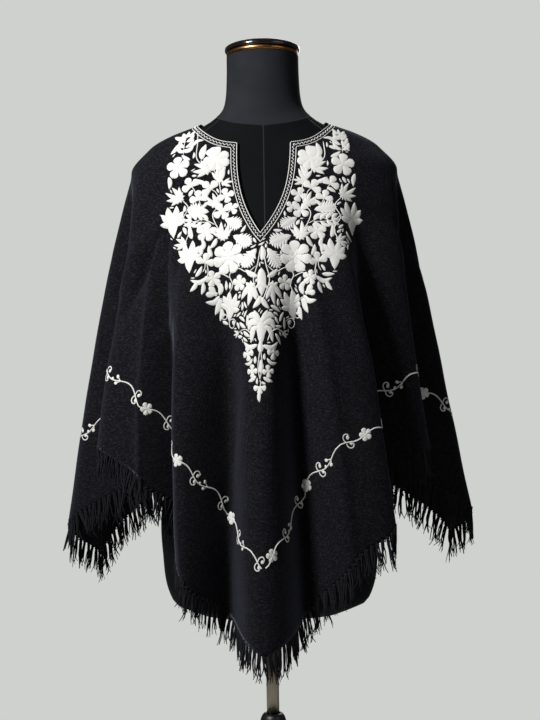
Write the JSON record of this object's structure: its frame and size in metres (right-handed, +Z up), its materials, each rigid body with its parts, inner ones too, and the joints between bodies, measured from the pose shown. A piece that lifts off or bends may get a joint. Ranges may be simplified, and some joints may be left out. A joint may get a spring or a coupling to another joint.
{
  "type": "poncho on a limbless dress form with a pole stand",
  "caption": "Square woollen poncho worn on the diagonal, with a slit neck, embroidered yoke and border and a fringed hem, on a limbless dress form with a pole stand.",
  "frame": {"origin": "centre of the underside of the base plate, under the axis of the pole", "axes": "+Z up along the pole, -Y the way the front of the poncho faces, +X the viewer's right"},
  "size_m": [0.6615, 0.4543, 1.5071],
  "materials": {
    "wool": "matt black wool twill",
    "fringe": "black wool yarn",
    "jersey": "black cotton jersey",
    "lacquer": "black gloss lacquer",
    "brass": "polished",
    "steel": "satin",
    "plastic": "black, half gloss",
    "iron": "black powder coat"
  },
  "bodies": {
    "root": {"poncho_cloth": "wool", "fringe_front_right": "fringe", "fringe_back_right": "fringe", "fringe_back_left": "fringe", "fringe_front_left": "fringe", "dress_form": "jersey", "neck_cap_rim": "brass", "neck_cap_lid": "lacquer", "stand_pole": "steel", "stand_socket": "plastic", "stand_tube": "steel", "stand_base": "iron"}
  },
  "joints": []
}
